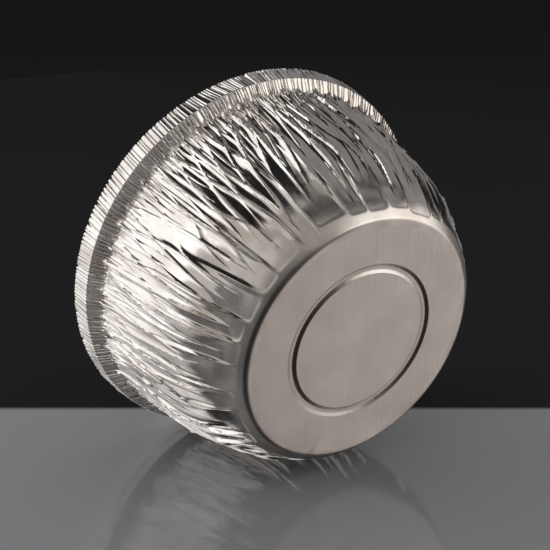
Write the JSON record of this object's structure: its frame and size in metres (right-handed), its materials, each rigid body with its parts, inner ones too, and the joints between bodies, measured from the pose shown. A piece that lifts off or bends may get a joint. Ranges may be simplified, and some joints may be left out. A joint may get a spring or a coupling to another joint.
{
  "type": "foil pudding basin",
  "caption": "Tapered single-use baking basin pressed from thin aluminium foil, with a coined ring in its flat base, a pleated wall and a crimped rim with a lid ledge and a fold-over upstand.",
  "frame": {"origin": "centre of the underside of the base, on the surface that the basin stands on", "axes": "+Z along the basin's axis, from the base to the mouth; X and Y are any two directions across it"},
  "size_m": [0.126, 0.126, 0.0635],
  "materials": {
    "satin_foil": "satin rolled foil, pressed flat",
    "bright_foil": "bright rolled foil, pleated and crimped"
  },
  "bodies": {
    "root": {"base_panel": "satin_foil", "pleated_wall": "bright_foil", "rim_ledge": "bright_foil", "rim_upstand": "bright_foil"}
  },
  "joints": []
}
